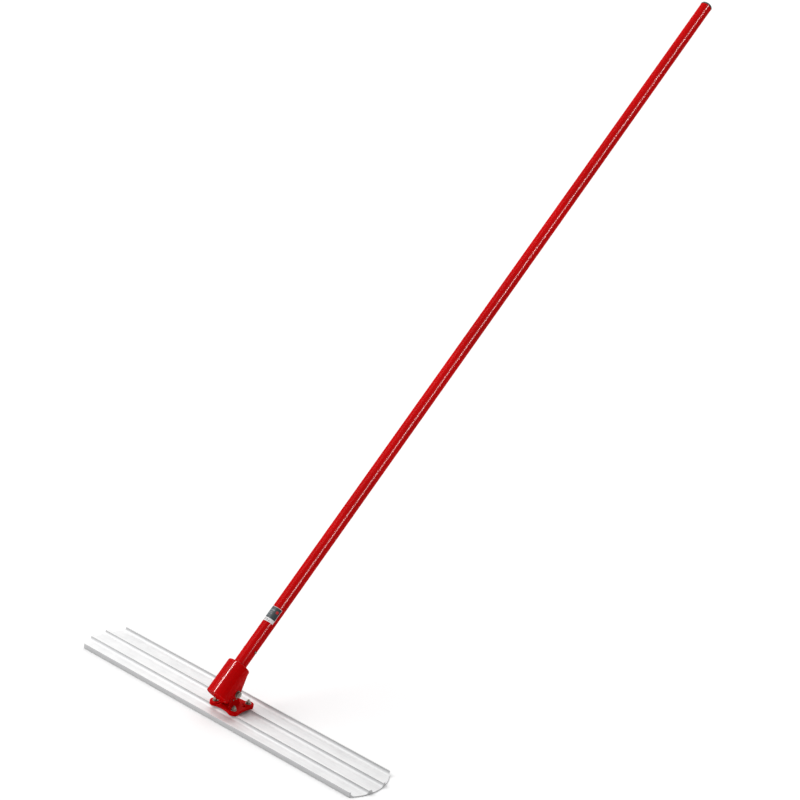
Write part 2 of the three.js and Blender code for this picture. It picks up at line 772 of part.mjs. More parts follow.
// ---------------------------------------------------------------- snap lock in the spigot
const flangeRadius = buttonRadius + buttonFlange;
const flangeOuter = Math.sqrt(spigotBore ** 2 - flangeRadius ** 2) - buttonFlangeGap;
const flangeInner = flangeOuter - buttonFlangeThickness;
const legOuter = flangeInner - seatGap;
const legInner = legOuter - springThickness;
for (const [name, side] of Object.entries(sides)) {
  const tip = tubeRadius + buttonProud;
  const profile = [
    [0, flangeInner],
    [flangeRadius, flangeInner],
    [flangeRadius, flangeOuter],
    [buttonRadius, flangeOuter],
    [buttonRadius, tip - buttonRound],
    [buttonRadius - buttonRound, tip],
    [0, tip],
  ];
  const button = alongX(turned(profile, 16));
  const leg = new THREE.BoxGeometry(springThickness, springWidth, springLegLength);
  if (side < 0) button.rotateZ(Math.PI);
  leg.translate((side * (legInner + legOuter)) / 2, 0, buttonZ + springLegLength / 2 - springLegBelow);
  place(`lock_button_${name}`, button.translate(0, 0, buttonZ), zincSteel, head);
  place(`spring_leg_${name}`, leg, springSteel, head);
}

// The spring's bow joins the two legs at the top, and rests in the spigot.
function springBow() {
  const shape = new THREE.Shape();
  const bottom = buttonZ + springLegLength - springLegBelow + seatGap;
  const bend = bottom + springBowFoot;
  shape.moveTo(legOuter, bottom);
  shape.lineTo(legOuter, bend);
  shape.absarc(0, bend, legOuter, 0, Math.PI, false);
  shape.lineTo(-legOuter, bottom);
  shape.lineTo(-legInner, bottom);
  shape.lineTo(-legInner, bend);
  shape.absarc(0, bend, legInner, Math.PI, 0, true);
  shape.lineTo(legInner, bottom);
  shape.closePath();
  const options = { depth: springWidth, bevelEnabled: false, curveSegments: 10 };
  return new THREE.ExtrudeGeometry(shape, options).rotateX(Math.PI / 2).translate(0, springWidth / 2, 0);
}
place('spring_bow', springBow(), springSteel, head);

// ---------------------------------------------------------------- handle tube, cap and label
function handleTube() {
  const tube = ring(tubeBore, tubeRadius, tubeBottom, tubeTop, 40);
  const hole = alongX(rod(buttonRadius + runGap, -tubeRadius - 1, tubeRadius + 1, 16));
  hole.translate(0, 0, buttonZ);
  return combine(tube, { cut: [hole] });
}
place('handle_tube', handleTube(), redPaint, head);

function endCap() {
  const rim = tubeTop + seatGap;
  const radius = tubeRadius + capOverhang;
  const plug = tubeBore - seatGap;
  const plugBottom = tubeTop - capPlugLength;
  const shoulder = rim + capRimHeight;
  const profile = [
    [0, plugBottom],
    [plug - capPlugLeadIn / 3, plugBottom],
    [plug, plugBottom + capPlugLeadIn],
    [plug, rim],
    [radius, rim],
    [radius, shoulder - capRound],
    [radius - capRound, shoulder],
    [radius / 2, shoulder + capDomeHeight * 0.75],
    [0, shoulder + capDomeHeight],
  ];
  return turned(profile, 40);
}
place('handle_end_cap', endCap(), blackPlastic, head);

function label() {
  const inner = tubeRadius + seatGap;
  const outer = inner + labelThickness;
  const from = THREE.MathUtils.degToRad(labelFrom);
  const to = THREE.MathUtils.degToRad(labelTo);
  const shape = new THREE.Shape();
  shape.absarc(0, 0, outer, from, to, false);
  shape.absarc(0, 0, inner, to, from, true);
  shape.closePath();
  const bottom = tubeBottom + labelStart;
  return block(shape, bottom, bottom + labelLength, 12);
}
place('handle_label', label(), labelVinyl, head);

export default bullFloat;
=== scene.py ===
# A bull float for smoothing fresh concrete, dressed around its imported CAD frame. Metres, +Z up, +X along
# the blade, +Y towards the person who holds the handle. The float stands with its blade flat on the floor.
import json
import math
import bmesh
import bpy
from mathutils import Matrix, Vector

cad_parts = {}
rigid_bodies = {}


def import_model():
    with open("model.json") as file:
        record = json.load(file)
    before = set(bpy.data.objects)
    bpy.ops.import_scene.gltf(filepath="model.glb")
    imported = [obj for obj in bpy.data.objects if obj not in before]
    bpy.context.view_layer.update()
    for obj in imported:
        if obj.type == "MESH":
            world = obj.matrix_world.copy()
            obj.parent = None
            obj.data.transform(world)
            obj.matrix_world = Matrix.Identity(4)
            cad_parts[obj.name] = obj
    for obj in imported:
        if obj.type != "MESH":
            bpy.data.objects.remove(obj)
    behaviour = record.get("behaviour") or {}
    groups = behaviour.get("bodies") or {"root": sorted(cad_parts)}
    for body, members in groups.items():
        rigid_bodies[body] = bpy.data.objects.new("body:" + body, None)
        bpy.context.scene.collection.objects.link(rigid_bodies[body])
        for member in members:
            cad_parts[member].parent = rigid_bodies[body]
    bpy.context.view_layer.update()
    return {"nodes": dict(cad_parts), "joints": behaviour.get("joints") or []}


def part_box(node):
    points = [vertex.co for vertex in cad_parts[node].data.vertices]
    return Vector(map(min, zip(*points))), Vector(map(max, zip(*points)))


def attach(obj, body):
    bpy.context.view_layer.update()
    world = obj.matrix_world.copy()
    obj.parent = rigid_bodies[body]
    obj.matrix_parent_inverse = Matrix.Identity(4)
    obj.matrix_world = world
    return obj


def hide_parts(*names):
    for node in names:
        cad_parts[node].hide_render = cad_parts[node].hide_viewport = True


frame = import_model()
nodes = frame["nodes"]
joints = {joint["name"]: joint for joint in frame["joints"]}

# ---- The camera ---------------------------------------------------------------------------------------
# It stands in front of the blade and to the right, and is rolled so that the blade runs downhill.
camera_distance = 6.0
camera_azimuth = math.radians(34.2)
camera_elevation = math.radians(19.3)
camera_roll = math.radians(9.6)
camera_aside = 0.546
camera_above = 0.998
camera_lens = 83.7
film_width = 36
farthest_seen = 600
level_right = Vector((math.cos(camera_azimuth), math.sin(camera_azimuth), 0))
forward = Vector((
    -math.sin(camera_azimuth) * math.cos(camera_elevation),
    math.cos(camera_azimuth) * math.cos(camera_elevation),
    -math.sin(camera_elevation),
))
level_up = level_right.cross(forward)
camera_right = level_right * math.cos(camera_roll) + level_up * math.sin(camera_roll)
camera_up = level_up * math.cos(camera_roll) - level_right * math.sin(camera_roll)


def stand(piece, place, right, up, back):
    piece.matrix_world = Matrix((
        (right.x, up.x, back.x, place.x),
        (right.y, up.y, back.y, place.y),
        (right.z, up.z, back.z, place.z),
        (0, 0, 0, 1),
    ))


camera_data = bpy.data.cameras.new("camera")
camera_data.lens = camera_lens
camera_data.sensor_width = film_width
camera_data.clip_end = farthest_seen
camera = bpy.data.objects.new("camera", camera_data)
bpy.context.scene.collection.objects.link(camera)
camera_place = camera_right * camera_aside + camera_up * camera_above - forward * camera_distance
stand(camera, camera_place, camera_right, camera_up, -forward)
bpy.context.scene.camera = camera

# ---- The studio: floor, sky and lamps -----------------------------------------------------------------
# A pale floor under a soft white sky that is brighter on the left and behind, and soft sunlight from a
# window on the left. Two strip lamps are there for their reflections in the red paint alone: a long one
# beside the handle draws a thin line of light down it, and a short one does the same for the barrel.
floor_radius = 160
floor_drop = 0.0004
floor_white = (0.94, 0.94, 0.94, 1)
floor_roughness = 0.95
floor_shine = 0.1
sky_bright_side = (-0.62, 0.30, 0.72)
sky_dark = (0.30, 0.30, 0.30, 1)
sky_light = (1.25, 1.25, 1.25, 1)
sky_dark_until = -0.3
window_strength = 1.1
window_spread = math.radians(40)
window_shine = 0.2
window_back = Vector((-0.75, -0.55, 1.0)).normalized()
window_distance = 5
handle_line = Vector(joints["handle_twist"]["axis"]).normalized()
handle_root = Vector(joints["handle_twist"]["pos_m"])

bpy.ops.object.select_all(action="DESELECT")
bpy.ops.mesh.primitive_circle_add(
    vertices=128, radius=floor_radius, fill_type="NGON", location=(0, 0, -floor_drop)
)
floor = bpy.context.object
floor.name = "floor"
floor_material = bpy.data.materials.new("floor_white")
floor_material.use_nodes = True
floor_shader = floor_material.node_tree.nodes["Principled BSDF"]
floor_shader.inputs["Base Color"].default_value = floor_white
floor_shader.inputs["Roughness"].default_value = floor_roughness
floor_shader.inputs["Specular IOR Level"].default_value = floor_shine
floor.data.materials.append(floor_material)

sky = bpy.data.worlds.new("sky")
sky.use_nodes = True
sky_tree = sky.node_tree
sky_place = sky_tree.nodes.new("ShaderNodeTexCoord")
sky_facing = sky_tree.nodes.new("ShaderNodeVectorMath")
sky_ramp = sky_tree.nodes.new("ShaderNodeMapRange")
sky_mix = sky_tree.nodes.new("ShaderNodeMix")
sky_mix.data_type = "RGBA"
sky_facing.operation = "DOT_PRODUCT"
sky_facing.inputs[1].default_value = sky_bright_side
sky_ramp.inputs["From Min"].default_value = sky_dark_until
sky_ramp.inputs["From Max"].default_value = 1.0
sky_mix.inputs[6].default_value = sky_dark
sky_mix.inputs[7].default_value = sky_light
sky_tree.links.new(sky_place.outputs["Generated"], sky_facing.inputs[0])
sky_tree.links.new(sky_facing.outputs["Value"], sky_ramp.inputs["Value"])
sky_tree.links.new(sky_ramp.outputs["Result"], sky_mix.inputs[0])
sky_tree.links.new(sky_mix.outputs[2], sky_tree.nodes["Background"].inputs["Color"])
bpy.context.scene.world = sky
bpy.context.scene.view_settings.view_transform = "Standard"

lit_tube = bpy.data.collections.new("lit_tube")
lit_castings = bpy.data.collections.new("lit_castings")


# A strip lamp parallel to the handle, turned about it from the camera's side. It lights one collection.
def strip_lamp(name, lit, turn, distance, climb, width, length, power):
    toward_camera = (-forward - handle_line * handle_line.dot(-forward)).normalized()
    sideways = camera_right - handle_line * handle_line.dot(camera_right)
    sideways = (sideways - toward_camera * toward_camera.dot(sideways)).normalized()
    back = toward_camera * math.cos(math.radians(turn)) + sideways * math.sin(math.radians(turn))
    data = bpy.data.lights.new(name, "AREA")
    data.shape = "RECTANGLE"
    data.size = width
    data.size_y = length
    data.energy = power
    light = bpy.data.objects.new(name, data)
    bpy.context.scene.collection.objects.link(light)
    place = handle_root + back * distance + handle_line * climb
    stand(light, place, handle_line.cross(back), handle_line, back)
    light.visible_diffuse = False
    light.visible_camera = False
    light.light_linking.receiver_collection = lit


strip_lamp("long_lamp", lit_tube, turn=24, distance=1.2, climb=2.37, width=0.26, length=3.9, power=400)
strip_lamp(
    "barrel_lamp", lit_castings, turn=-49.4, distance=0.9, climb=0.34, width=0.12, length=0.5, power=55
)

window_data = bpy.data.lights.new("window_light", "SUN")
window_data.energy = window_strength
window_data.angle = window_spread
window_data.specular_factor = window_shine
window = bpy.data.objects.new("window_light", window_data)
bpy.context.scene.collection.objects.link(window)
window_right = Vector((0, 0, 1)).cross(window_back).normalized()
window_place = window_back * window_distance
stand(window, window_place, window_right, window_back.cross(window_right), window_back)

# ---- The blade ----------------------------------------------------------------------------------------
# One length of magnesium extrusion: a thin floor, a lip along each edge and two ridges that carry the
# bracket. Each flank runs down to the floor in a hollow curve. The ends are sawn to an arc and deburred.
blade_length = 1.2192
blade_width = 0.2032
blade_bulge = 0.034
floor_thickness = 0.0036
lip_height = 0.018
lip_thickness = 0.004
lip_hollow = 0.0118
ridge_height = 0.015
ridge_row = 0.035
crest_width = 0.012
ridge_hollow = 0.0111
lower_round = 0.0024
edge_break = 0.0004
bolt_head_radius = 0.00875
bolt_hole_radius = 0.0043
countersink_depth = 0.00345
near_enough = 1e-5
magnesium_light = (0.87, 0.87, 0.87, 1)
magnesium_dull = (0.76, 0.762, 0.766, 1)
magnesium_flank_painted_shade = (0.50, 0.502, 0.506, 1)


class Wire:
    # The output of a node, which can be added and multiplied like a number.
    def __init__(self, finish, socket):
        self.finish = finish
        self.socket = socket

    def maths(self, operation, first, second):
        return self.finish.node("ShaderNodeMath", {"operation": operation}, {0: first, 1: second})

    def __add__(self, other):
        return self.maths("ADD", self, other)

    def __radd__(self, other):
        return self.maths("ADD", other, self)

    def __sub__(self, other):
        return self.maths("SUBTRACT", self, other)

    def __rsub__(self, other):
        return self.maths("SUBTRACT", other, self)

    def __mul__(self, other):
        return self.maths("MULTIPLY", self, other)

    def __rmul__(self, other):
        return self.maths("MULTIPLY", other, self)

    def __gt__(self, other):
        return self.maths("GREATER_THAN", self, other)

    def __lt__(self, other):
        return self.maths("LESS_THAN", self, other)


class Finish:
    # A material in the making: a Principled shader, and the nodes that vary it over the surface.
    def __init__(self, name):
        self.material = bpy.data.materials.new(name)
        self.material.use_nodes = True
        self.shader = self.material.node_tree.nodes["Principled BSDF"]

    def join(self, socket, value):
        if isinstance(value, Wire):
            self.material.node_tree.links.new(value.socket, socket)
        else:
            socket.default_value = value

    def node(self, kind, settings, sockets, output=0):
        made = self.material.node_tree.nodes.new(kind)
        for name, value in settings.items():
            setattr(made, name, value)
        for name, value in sockets.items():
            self.join(made.inputs[name], value)
        return Wire(self, made.outputs[output])

    def set(self, **sockets):
        for name, value in sockets.items():
            self.join(self.shader.inputs[name.replace("_", " ")], value)

    def place(self, stretch=(1, 1, 1), turn=(0, 0, 0), origin=(0, 0, 0)):
        where = self.node("ShaderNodeTexCoord", {}, {}, "Object")
        local = {"Vector": where, "Location": origin, "Rotation": turn}
        straight = self.node("ShaderNodeMapping", {"vector_type": "TEXTURE"}, local)
        return self.node("ShaderNodeVectorMath", {"operation": "MULTIPLY"}, {0: straight, 1: stretch})

    def noise(self, scale, detail=3, stretch=(1, 1, 1), turn=(0, 0, 0)):
        where = self.place(stretch, turn)
        return self.node("ShaderNodeTexNoise", {}, {"Vector": where, "Scale": scale, "Detail": detail})

    def steps(self, value, low, high):
        settings = {"clamp": True}
        return self.node("ShaderNodeMapRange", settings, {"Value": value, "From Min": low, "From Max": high})

    def blend(self, mask, first, second):
        return self.node("ShaderNodeMix", {"data_type": "RGBA"}, {0: mask, 6: first, 7: second}, 2)

    def bump(self, height, strength, depth):
        sockets = {"Height": height, "Strength": strength, "Distance": depth}
        self.set(Normal=self.node("ShaderNodeBump", {}, sockets))


def deselect():
    bpy.ops.object.select_all(action="DESELECT")


def edit(piece):
    deselect()
    piece.select_set(True)
    bpy.context.view_layer.objects.active = piece
    bpy.ops.object.mode_set(mode="EDIT")
    bpy.ops.mesh.select_all(action="SELECT")


def done():
    bpy.ops.object.mode_set(mode="OBJECT")


def pick_faces(piece, wanted):
    bpy.ops.mesh.select_mode(type="FACE")
    bpy.ops.mesh.select_all(action="DESELECT")
    shape = bmesh.from_edit_mesh(piece.data)
    for face in shape.faces:
        face.select_set(wanted(face.calc_center_median(), face.normal))
    bmesh.update_edit_mesh(piece.data)


def pick_edges(piece, wanted):
    bpy.ops.mesh.select_mode(type="EDGE")
    bpy.ops.mesh.select_all(action="DESELECT")
    shape = bmesh.from_edit_mesh(piece.data)
    for edge in shape.edges:
        if wanted(edge.verts[0].co, edge.verts[1].co):
            edge.select_set(True)
    bmesh.update_edit_mesh(piece.data)


def apply_place(piece):
    deselect()
    piece.select_set(True)
    bpy.context.view_layer.objects.active = piece
    bpy.ops.object.transform_apply(location=True, rotation=True, scale=True)


def apply_modifier(piece, kind, **settings):
    deselect()
    piece.select_set(True)
    bpy.context.view_layer.objects.active = piece
    modifier = piece.modifiers.new("step", kind)
    for name, value in settings.items():
        setattr(modifier, name, value)
    bpy.ops.object.modifier_apply(modifier="step")


def cut(piece, tool, operation="DIFFERENCE"):
    apply_modifier(piece, "BOOLEAN", object=tool, operation=operation, solver="MANIFOLD")
    bpy.data.objects.remove(tool)


def break_edges(piece, width, segments):
    sharp = math.radians(40)
    apply_modifier(piece, "BEVEL", width=width, segments=segments, limit_method="ANGLE", angle_limit=sharp)


def box(low, high):
    deselect()
    centre = [(a + b) / 2 for a, b in zip(low, high)]
    bpy.ops.mesh.primitive_cube_add(size=1, location=centre, scale=[b - a for a, b in zip(low, high)])
    piece = bpy.context.object
    apply_place(piece)
    return piece


# A section of (radius, height) points carried round the Z axis. A section that ends where it began is
# a hollow ring, and any other is closed at both ends.
def turned(section, segments=64):
    deselect()
    bpy.ops.mesh.primitive_circle_add(vertices=segments, radius=section[0][0], fill_type="NOTHING")
    piece = bpy.context.object
    edit(piece)
    radius, height = section[0]
    bpy.ops.transform.translate(value=(0, 0, height))
    for new_radius, new_height in section[1:]:
        rise = {"value": (0, 0, new_height - height)}
        bpy.ops.mesh.extrude_region_move(TRANSFORM_OT_translate=rise)
        share = new_radius / radius
        bpy.ops.transform.resize(value=(share, share, 1), center_override=(0, 0, new_height))
        radius, height = new_radius, new_height
    bpy.ops.mesh.select_all(action="SELECT")
    bpy.ops.mesh.remove_doubles(threshold=0.000001)
    if section[0] != section[-1]:
        bpy.ops.mesh.fill_holes(sides=0)
        bpy.ops.mesh.select_all(action="SELECT")
    bpy.ops.mesh.normals_make_consistent(inside=False)
    done()
    return piece


def rod(radius, bottom, top, segments=48):
    return turned([(radius, bottom), (radius, top)], segments)


def put(piece, where):
    piece.matrix_world = where
    apply_place(piece)
    return piece


def settle(piece, name, body, finish, replaced, smooth=35):
    piece.name = name
    piece.data.name = name
    piece.data.materials.clear()
    piece.data.materials.append(finish.material)
    deselect()
    piece.select_set(True)
    bpy.context.view_layer.objects.active = piece
    bpy.ops.object.shade_smooth_by_angle(angle=math.radians(smooth))
    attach(piece, body)
    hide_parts(*replaced)


magnesium = Finish("magnesium")
lines = magnesium.noise(1, 4, stretch=(3, 700, 700))
fine_lines = magnesium.noise(1, 2, stretch=(14, 2600, 2600))
cloud = magnesium.noise(18, 4)
tone = magnesium.steps(lines * 0.6 + cloud * 0.4, 0.35, 0.62)
# Painted shade: faces that stand steep (the ridge flanks, the lip faces and the sawn ends) are mixed toward
# a darker grey, as if less light fell on them.
facing = magnesium.node("ShaderNodeNewGeometry", {}, {}, "Normal")
upward = magnesium.node("ShaderNodeSeparateXYZ", {}, {0: facing}, "Z")
steep_painted_shade = 1 - magnesium.steps(upward, 0.1, 0.85)
face_colour = magnesium.blend(tone, magnesium_dull, magnesium_light)
magnesium.set(
    Base_Color=magnesium.blend(steep_painted_shade * 0.9, face_colour, magnesium_flank_painted_shade),
    Roughness=0.56 + magnesium.steps(cloud * 0.5 + fine_lines * 0.5, 0.35, 0.65) * 0.14,
    Metallic=0.5,
)
magnesium.bump(lines * 0.5 + fine_lines * 0.5, 0.25, 0.0002)

half_width = blade_width / 2
crest_low = ridge_row - crest_width / 2
crest_high = ridge_row + crest_width / 2
lip_inner = half_width - lip_thickness
blade = box((-blade_length / 2, -half_width, 0), (blade_length / 2, half_width, floor_thickness))
edit(blade)
for side in (-1, 1):
    for y in (crest_low, crest_high, lip_inner):
        bpy.ops.mesh.select_all(action="SELECT")
        bpy.ops.mesh.bisect(plane_co=(0, side * y, 0), plane_no=(0, 1, 0))
pick_faces(blade, lambda at, normal: normal.z > 0.9 and crest_low < abs(at.y) < crest_high)
bpy.ops.mesh.extrude_region_move(TRANSFORM_OT_translate={"value": (0, 0, ridge_height - floor_thickness)})
pick_faces(blade, lambda at, normal: normal.z > 0.9 and abs(at.y) > lip_inner)
bpy.ops.mesh.extrude_region_move(TRANSFORM_OT_translate={"value": (0, 0, lip_height - floor_thickness)})


def runs_along(first, second, y_places, z):
    level = abs(first.y - second.y) < near_enough and abs(first.z - second.z) < near_enough
    in_row = any(abs(abs(first.y) - y) < near_enough for y in y_places)
    return level and in_row and abs(first.z - z) < near_enough


pick_edges(blade, lambda a, b: runs_along(a, b, (crest_low, crest_high), floor_thickness))
bpy.ops.mesh.bevel(offset=ridge_hollow, segments=7, affect="EDGES")
pick_edges(blade, lambda a, b: runs_along(a, b, (lip_inner,), floor_thickness))
bpy.ops.mesh.bevel(offset=lip_hollow, segments=7, affect="EDGES")
pick_edges(blade, lambda a, b: runs_along(a, b, (half_width,), 0))
bpy.ops.mesh.bevel(offset=lower_round, segments=4, affect="EDGES")
done()

end_radius = (half_width ** 2 + blade_bulge ** 2) / (2 * blade_bulge)
saw_line = rod(end_radius, -0.01, lip_height + 0.012, 512)
edit(saw_line)
for side in (-1, 1):
    bpy.ops.mesh.select_mode(type="VERT")
    bpy.ops.mesh.select_all(action="DESELECT")
    outline = bmesh.from_edit_mesh(saw_line.data)
    for corner in outline.verts:
        corner.select_set(corner.co.x * side > 0.0001)
    bmesh.update_edit_mesh(saw_line.data)
    bpy.ops.transform.translate(value=(side * (blade_length / 2 - end_radius), 0, 0))
done()
cut(blade, saw_line, "INTERSECT")
corners = ("front_left", "front_right", "rear_left", "rear_right")
bolt_places = [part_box(f"blade_nut_{corner}") for corner in corners]
for low, high in bolt_places:
    middle = Matrix.Translation(((low.x + high.x) / 2, (low.y + high.y) / 2, 0))
    countersink = turned([
        (bolt_head_radius, -0.001), (bolt_hole_radius, countersink_depth),
        (bolt_hole_radius, ridge_height + 0.001),
    ], 48)
    cut(blade, put(countersink, middle))
break_edges(blade, edge_break, 2)
settle(blade, "float_blade_extrusion", "float_blade", magnesium, ["blade"], 30)

# ---- The base -----------------------------------------------------------------------------------------
# A thick aluminium casting with four round bolt lobes that stand on the ridges and two ears for the
# pivot. Its edges and inner corners are soft from the mould, and it is powder coated red.
plate_low = 0.0153
plate_high = 0.0243
lobe_high = 0.0278
lobe_radius = 0.018
bolt_row = 0.04
plate_waist_x = 0.053
plate_waist_y = 0.044
drain_radius = 0.0032
drain_place = (0.041, 0.013)
pivot = Vector(joints["handle_tilt"]["pos_m"])
ear_inner = 0.0129
ear_outer = 0.0219
ear_boss = 0.014
ear_front_foot = 0.019
ear_back_foot = 0.030
bush_hole = 0.0086
dowel_hole = 0.0033
casting_grain = 0.00085
mould_softness = 0.5
mould_passes = 8
ear_root = 0.001
through = 0.03
red_bright = (0.56, 0.0006, 0.0012, 1)
red_deep = (0.46, 0.0005, 0.001, 1)


# A flat outline drawn point by point, filled, and pushed out by a depth.
def drawn(points, depth):
    deselect()
    bpy.ops.mesh.primitive_plane_add(size=0.001)
    piece = bpy.context.object
    edit(piece)
    bpy.ops.mesh.merge(type="CENTER")
    bpy.ops.transform.translate(value=points[0])
    for last, point in zip(points, points[1:]):
        bpy.ops.mesh.extrude_vertices_move(TRANSFORM_OT_translate={"value": point - last})
    bpy.ops.mesh.select_all(action="SELECT")
    bpy.ops.mesh.edge_face_add()
    bpy.ops.mesh.extrude_region_move(TRANSFORM_OT_translate={"value": depth})
    bpy.ops.mesh.select_all(action="SELECT")
    bpy.ops.mesh.normals_make_consistent(inside=False)
    done()
    return piece


def bow(start, through, end, steps=16):
    points = []
    for step in range(steps):
        share = step / steps
        points.append(start.lerp(through, share).lerp(through.lerp(end, share), share))
    return points


def arc(centre, radius, start, end, steps):
    points = []
    for step in range(steps + 1):
        angle = math.radians(start + (end - start) * step / steps)
        points.append(centre + Vector((0, math.cos(angle), math.sin(angle))) * radius)
    return points


across = Matrix.Rotation(math.pi / 2, 4, "Y")

red_coat = Finish("red_powder_coat")
peel = red_coat.noise(520, 2)
haze = red_coat.noise(9, 3)
rub = red_coat.steps(red_coat.noise(1, 4, stretch=(900, 60, 60)), 0.70, 0.76)
red_coat.set(
    Base_Color=red_coat.blend(red_coat.steps(haze, 0.35, 0.65), red_deep, red_bright),
    Roughness=0.24 + haze * 0.1 + rub * 0.12,
    Specular_IOR_Level=0.0,
    Coat_Weight=0.08 - rub * 0.04,
    Coat_Roughness=0.14,
)
red_coat.bump(peel, 0.12, 0.0003)

side_x = bolt_row + lobe_radius
front_y = ridge_row + lobe_radius
bow_x = 2 * plate_waist_x - side_x
bow_y = 2 * plate_waist_y - front_y
outline = []
for turn in (0, 1):
    side = 1 - 2 * turn
    outline += bow(
        Vector((side * side_x, -side * ridge_row, plate_low)),
        Vector((side * bow_x, 0, plate_low)),
        Vector((side * side_x, side * ridge_row, plate_low)),
    )
    outline += [Vector((side * side_x, side * ridge_row, plate_low))]
    outline += bow(
        Vector((side * bolt_row, side * front_y, plate_low)),
        Vector((0, side * bow_y, plate_low)),
        Vector((-side * bolt_row, side * front_y, plate_low)),
    )
    outline += [Vector((-side * bolt_row, side * front_y, plate_low))]
base = drawn(outline, Vector((0, 0, plate_high - plate_low)))
for low, high in bolt_places:
    middle = Matrix.Translation(((low.x + high.x) / 2, (low.y + high.y) / 2, 0))
    cut(base, put(rod(lobe_radius, plate_low, lobe_high, 64), middle), "UNION")
for side in (-1, 1):
    ear = [Vector((0, pivot.y + ear_back_foot, plate_high - ear_root))]
    ear += arc(Vector((0, pivot.y, pivot.z)), ear_boss, 0, 180, 28)
    ear += [Vector((0, pivot.y - ear_front_foot, plate_high - ear_root))]
    near = ear_inner if side > 0 else -ear_outer
    ear = [point + Vector((near, 0, 0)) for point in ear]
    cut(base, drawn(ear, Vector((ear_outer - ear_inner, 0, 0))), "UNION")
for low, high in bolt_places:
    middle = Matrix.Translation(((low.x + high.x) / 2, (low.y + high.y) / 2, 0))
    cut(base, put(rod(bolt_hole_radius, plate_low - 0.01, lobe_high + 0.01), middle))
for side in (-1, 1):
    drain = Matrix.Translation((side * drain_place[0], drain_place[1], 0))
    cut(base, put(rod(drain_radius, plate_low - 0.01, plate_high + 0.01), drain))
cut(base, put(rod(bush_hole, -through, through), Matrix.Translation(pivot) @ across))
for name in ("gear_dowel_1", "gear_dowel_2"):
    low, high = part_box(name)
    dowel = Matrix.Translation((0, (low.y + high.y) / 2, (low.z + high.z) / 2))
    cut(base, put(rod(dowel_hole, -through, through), dowel @ across))
apply_modifier(base, "REMESH", mode="VOXEL", voxel_size=casting_grain, adaptivity=0.0)
apply_modifier(base, "SMOOTH", factor=mould_softness, iterations=mould_passes)
settle(base, "base_casting", "float_blade", red_coat, ["base_plate"], 60)

# ---- Bolts, washers and nuts of the base ---------------------------------------------------------------
# Zinc-plated steel. Four countersunk bolts come up through the ridges, and each has a flat washer and a
# chamfered hexagon nut, with a few turns of bare thread standing out above it.
bolt_radius = 0.00395
bolt_head = 0.0074
bolt_sink = 0.0003
thread_pitch = 0.00125
thread_depth = 0.0005
washer_break = 0.0003
washer_slack = 0.0003
nut_flats = 0.013
nut_slack = 0.0001
nut_lead = 0.0004
nut_chamfer = math.radians(28)
nut_edge = 0.00015
nut_turns = {"front_left": 12, "front_right": 34, "rear_left": 51, "rear_right": 3}
zinc_bright = (0.44, 0.43, 0.375, 1)
zinc_dull = (0.20, 0.192, 0.16, 1)

zinc_steel = Finish("zinc_plated_steel")
spangle = zinc_steel.noise(420, 4)
dull = zinc_steel.steps(zinc_steel.noise(90, 3), 0.4, 0.62)
zinc_steel.set(
    Base_Color=zinc_steel.blend(dull, zinc_bright, zinc_dull),
    Roughness=0.26 + spangle * 0.14 + dull * 0.1,
    Metallic=1.0,
)
zinc_steel.bump(spangle, 0.12, 0.0001)


def thread(radius, bottom, top):
    points = []
    height = bottom
    while height + thread_pitch <= top - 0.0008:
        points += [(radius - thread_depth, height), (radius, height + thread_pitch / 2)]
        height += thread_pitch
    points += [(radius - thread_depth, height), (radius - 0.0004, top - 0.0005)]
    return points + [(radius - 0.0010, top)]


def hexagon(flats, bottom, top, bore):
    corner = flats / math.sqrt(3)
    deselect()
    bpy.ops.mesh.primitive_cylinder_add(
        vertices=6, radius=corner, depth=top - bottom,
        location=(0, 0, (bottom + top) / 2), rotation=(0, 0, math.pi / 6),
    )
    piece = bpy.context.object
    apply_place(piece)
    face = flats * 0.48
    outside = corner + 0.0001
    drop = (outside - face) * math.tan(nut_chamfer)
    dome = [(face, bottom), (outside, bottom + drop), (outside, top - drop), (face, top)]
    cut(piece, turned(dome, 72), "INTERSECT")
    if bore:
        lead = nut_lead
        hole = [
            (bore + lead, bottom - 0.0001), (bore + lead, bottom), (bore, bottom + lead),
            (bore, top - lead), (bore + lead, top), (bore + lead, top + 0.0001),
        ]
        cut(piece, turned(hole, 48))
    break_edges(piece, nut_edge, 2)
    return piece


def washer(inner, outer, bottom, top):
    edge = washer_break
    return turned([
        (inner, bottom), (outer - edge, bottom), (outer, bottom + edge), (outer, top - edge),
        (outer - edge, top), (inner + edge, top), (inner, top - edge), (inner, bottom),
    ], 64)


for corner in corners:
    low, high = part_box(f"blade_nut_{corner}")
    middle = Matrix.Translation(((low.x + high.x) / 2, (low.y + high.y) / 2, 0))
    twist = Matrix.Rotation(math.radians(nut_turns[corner]), 4, "Z")
    nut = put(hexagon(nut_flats, low.z, high.z, bolt_radius + nut_slack), middle @ twist)
    settle(nut, f"base_nut_{corner}", "float_blade", zinc_steel, [f"blade_nut_{corner}"])
    low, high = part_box(f"blade_washer_{corner}")
    flat = put(washer(bolt_radius + washer_slack, (high.x - low.x) / 2, low.z, high.z), middle)
    settle(flat, f"base_washer_{corner}", "float_blade", zinc_steel, [f"blade_washer_{corner}"])
    low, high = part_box(f"blade_bolt_{corner}")
    shank = [
        (bolt_head - 0.0003, bolt_sink), (bolt_head, bolt_sink + 0.0003),
        (bolt_radius, bolt_sink + bolt_head - bolt_radius), (bolt_radius, lobe_high),
    ]
    bolt = put(turned(shank + thread(bolt_radius, lobe_high + 0.002, high.z), 48), middle)
    settle(bolt, f"base_bolt_{corner}", "float_blade", zinc_steel, [f"blade_bolt_{corner}"])

